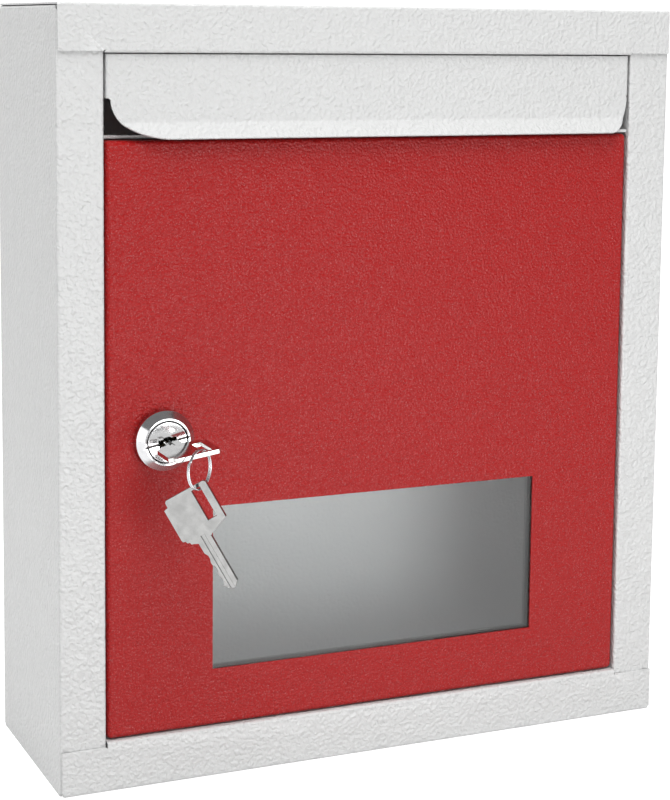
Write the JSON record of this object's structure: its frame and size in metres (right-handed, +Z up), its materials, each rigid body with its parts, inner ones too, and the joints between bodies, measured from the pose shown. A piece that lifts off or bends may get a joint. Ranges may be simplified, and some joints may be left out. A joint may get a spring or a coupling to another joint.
{
  "type": "suggestion box",
  "caption": "Slim sheet-steel suggestion box with a red hinged door, clear window, lift-up flap over the letter slot, and a cam lock with a key, ring and spare key.",
  "frame": {"origin": "centre of the base's underside", "axes": "+X to the right as seen from the front, -Y out of the front, +Z up"},
  "size_m": [0.267, 0.1277, 0.305],
  "materials": {
    "white_powder_coat": "light grey-white powder coat with a fine orange-peel texture, semi-matt",
    "red_powder_coat": "red powder coat with an orange-peel texture, satin",
    "clear_acrylic": "clear acrylic sheet, polished",
    "chrome_plate": "bright chrome plate with fine handling marks",
    "zinc_plated_steel": "bright zinc plate",
    "key_nickel": "nickel-plated key blank, satin",
    "wafer_brass": "stamped brass"
  },
  "bodies": {
    "case": {"side_left": "white_powder_coat", "side_right": "white_powder_coat", "back_panel": "white_powder_coat", "top_panel": "white_powder_coat", "bottom_panel": "white_powder_coat", "cross_rail": "white_powder_coat"},
    "flap": {"flap": "white_powder_coat", "flap_rivet_left": "zinc_plated_steel", "flap_rivet_right": "zinc_plated_steel"},
    "door": {"door_panel": "red_powder_coat", "hinge_pin_top": "zinc_plated_steel", "hinge_pin_bottom": "zinc_plated_steel", "hinge_clip_top": "zinc_plated_steel", "hinge_clip_bottom": "zinc_plated_steel", "window_pane": "clear_acrylic", "pane_rail_top": "red_powder_coat", "pane_rail_bottom": "red_powder_coat", "lock_housing": "chrome_plate", "lock_nut": "zinc_plated_steel"},
    "lock_core": {"lock_plug": "chrome_plate", "lock_cam": "zinc_plated_steel", "cam_washer": "zinc_plated_steel", "cam_screw": "zinc_plated_steel", "lock_wafer_1": "wafer_brass", "lock_wafer_2": "wafer_brass", "lock_wafer_3": "wafer_brass", "lock_wafer_4": "wafer_brass", "lock_wafer_5": "wafer_brass"},
    "key": {"key_in_lock": "key_nickel"},
    "ring": {"key_ring": "zinc_plated_steel"},
    "spare": {"spare_key": "key_nickel"}
  },
  "joints": [
    {"name": "flap_lift", "type": "hinge", "parent": "case", "child": "flap", "pos_m": [0, -0.0402, 0.2722], "axis": [-1, 0, 0], "range_deg": [0, 85]},
    {"name": "door_swing", "type": "hinge", "parent": "case", "child": "door", "pos_m": [0.1089, -0.0393, 0.136], "axis": [0, 0, 1], "range_deg": [0, 110]},
    {"name": "lock_turn", "type": "hinge", "parent": "door", "child": "lock_core", "pos_m": [-0.0918, -0.0431, 0.1379], "axis": [0, -1, 0], "range_deg": [0, 90]},
    {"name": "key_pull", "type": "slide", "parent": "lock_core", "child": "key", "axis": [0, -1, 0], "range_m": [0, 0.02]},
    {"name": "ring_swing", "type": "hinge", "parent": "key", "child": "ring", "pos_m": [-0.08814, -0.07484, 0.13987], "axis": [0.989, 0, 0.1478], "range_deg": [-8, 20]},
    {"name": "spare_swing", "type": "hinge", "parent": "ring", "child": "spare", "pos_m": [-0.08814, -0.07484, 0.12487], "axis": [0.7934, 0.6088, 0], "range_deg": [-20, 20]}
  ]
}
